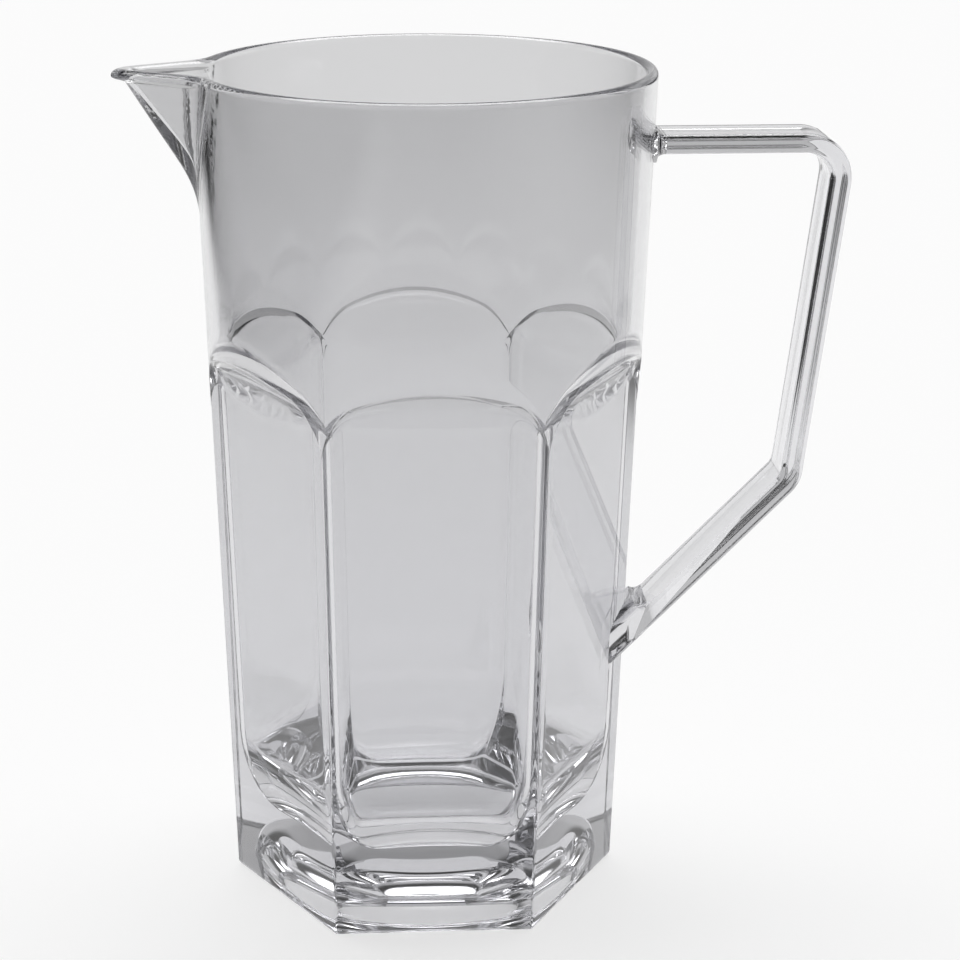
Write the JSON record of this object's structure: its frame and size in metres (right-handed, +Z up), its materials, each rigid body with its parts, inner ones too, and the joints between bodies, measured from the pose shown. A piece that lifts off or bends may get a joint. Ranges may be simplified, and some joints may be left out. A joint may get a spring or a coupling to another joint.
{
  "type": "beer pitcher",
  "caption": "Clear plastic beer pitcher, round above and with flat arched panels below, with a pouring beak, a thick base and a bonded strap handle.",
  "frame": {"origin": "centre of the body's axis at the plane of the foot", "axes": "+Z up along the body's axis, +X towards the handle, -X towards the pouring beak, -Y out of the panel that faces the viewer"},
  "size_m": [0.2007, 0.126, 0.235],
  "materials": {
    "clear_body": "clear, polished",
    "clear_handle": "clear, polished"
  },
  "bodies": {
    "root": {"jug_body": "clear_body", "handle": "clear_handle"}
  },
  "joints": []
}
